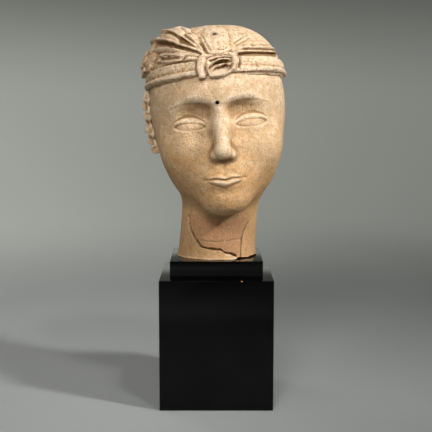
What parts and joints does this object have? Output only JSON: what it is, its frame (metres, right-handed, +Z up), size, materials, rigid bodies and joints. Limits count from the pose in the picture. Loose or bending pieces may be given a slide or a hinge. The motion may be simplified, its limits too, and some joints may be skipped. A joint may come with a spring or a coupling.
{
  "type": "stucco bust on a stepped plinth",
  "caption": "Modelled stucco head with a knotted headband and side ringlets, standing by its broken neck on a stepped black lacquered plinth.",
  "frame": {"origin": "centre of the plinth block's underside, which stands on the floor", "axes": "+Z up, the face looks along -Y, +X is to the viewer's right"},
  "size_m": [0.1963, 0.2289, 0.5126],
  "materials": {
    "stucco": "dry, pitted stucco, ochre with paler worn relief and browner hollows",
    "black_lacquer": "black lacquered wood, glossy and smooth"
  },
  "bodies": {
    "root": {"head": "stucco", "plinth_slab": "black_lacquer", "plinth_block": "black_lacquer"}
  },
  "joints": []
}
